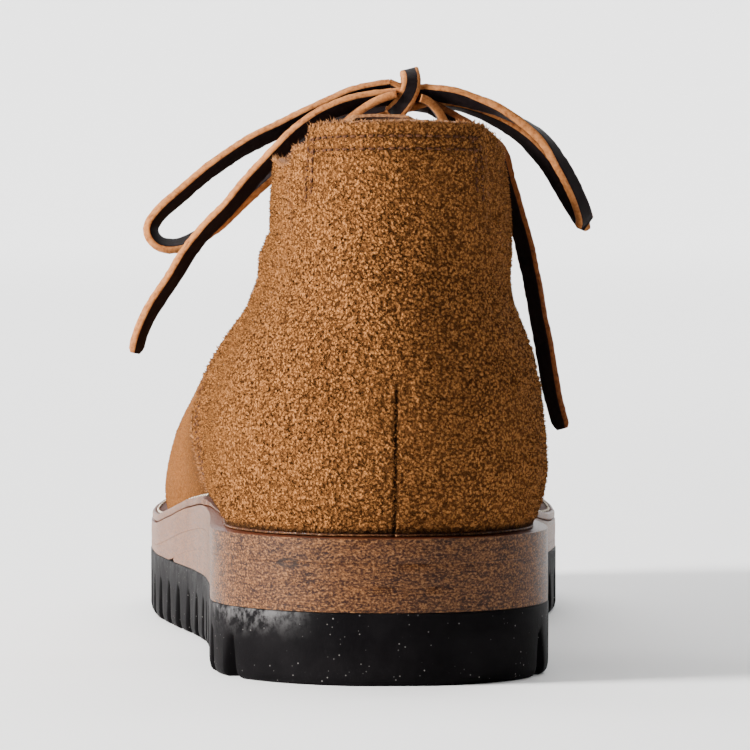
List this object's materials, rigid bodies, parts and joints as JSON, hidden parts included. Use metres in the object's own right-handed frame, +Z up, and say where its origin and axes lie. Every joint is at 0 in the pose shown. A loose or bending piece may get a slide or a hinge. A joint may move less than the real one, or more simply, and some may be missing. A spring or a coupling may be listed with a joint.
{
  "type": "work shoe",
  "caption": "Left ankle-high derby work shoe: hollow rough leather upper, tongue, insole, layered leather wedge midsole and grooved rubber outsole, laced and tied.",
  "frame": {"origin": "middle of the boot's box at floor level, measured without the free lace", "axes": "+Y from heel to toe, +Z up, -X to the outer (lateral) side"},
  "size_m": [0.113, 0.3018, 0.1405],
  "materials": {
    "black_rubber": "matt, slightly rough",
    "midsole_leather": "cut and burnished edge",
    "insole_leather": "smooth, worn",
    "upper_suede": "rough-out nap",
    "lace_leather": "waxed face, raw edges"
  },
  "bodies": {
    "root": {"outsole": "black_rubber", "midsole_top": "midsole_leather", "midsole_middle": "midsole_leather", "heel_wedge": "midsole_leather", "insole": "insole_leather", "upper": "upper_suede", "tongue": "upper_suede", "lace_bars": "lace_leather", "lace_knot": "lace_leather", "lace_end_outer": "lace_leather", "lace_loop_outer": "lace_leather", "lace_loop_inner": "lace_leather", "lace_end_inner": "lace_leather"}
  },
  "joints": []
}
